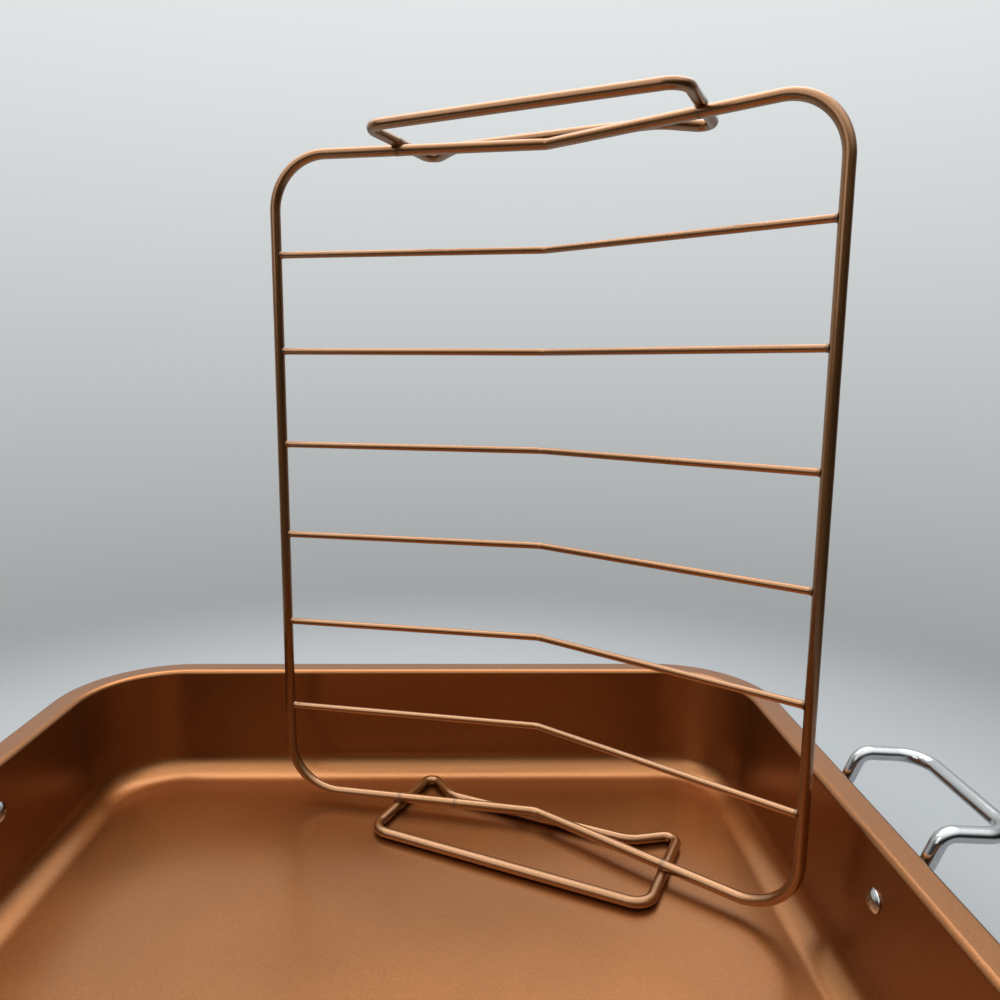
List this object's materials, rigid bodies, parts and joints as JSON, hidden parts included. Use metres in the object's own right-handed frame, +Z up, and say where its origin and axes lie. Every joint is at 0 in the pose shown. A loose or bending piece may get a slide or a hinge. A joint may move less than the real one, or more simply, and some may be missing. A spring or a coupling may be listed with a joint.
{
  "type": "roasting pan with rack",
  "caption": "Rounded rectangular roasting pan with riveted wire handles and a V-shaped wire rack that stands on end in it and lifts out.",
  "frame": {"origin": "on the surface that the pan stands on, under the middle of the pan", "axes": "+X along the pan's long side towards the right handle, +Y towards the back wall, +Z up"},
  "size_m": [0.4722, 0.336, 0.3518],
  "materials": {
    "copper_coating": "satin metallic non-stick coating",
    "polished_steel": "polished stainless steel"
  },
  "bodies": {
    "pan": {"pan_shell": "copper_coating", "handle_right": "polished_steel", "rivet_right_back": "polished_steel", "rivet_right_front": "polished_steel", "handle_left": "polished_steel", "rivet_left_back": "polished_steel", "rivet_left_front": "polished_steel"},
    "rack": {"rack_frame_wire": "copper_coating", "rack_rung_1": "copper_coating", "rack_rung_2": "copper_coating", "rack_rung_3": "copper_coating", "rack_rung_4": "copper_coating", "rack_rung_5": "copper_coating", "rack_rung_6": "copper_coating", "end_loop_bottom": "copper_coating", "end_loop_top": "copper_coating"}
  },
  "joints": [
    {"name": "rack_lift", "type": "slide", "parent": "pan", "child": "rack", "axis": [0, 0, 1], "range_m": [0, 0.08]}
  ]
}
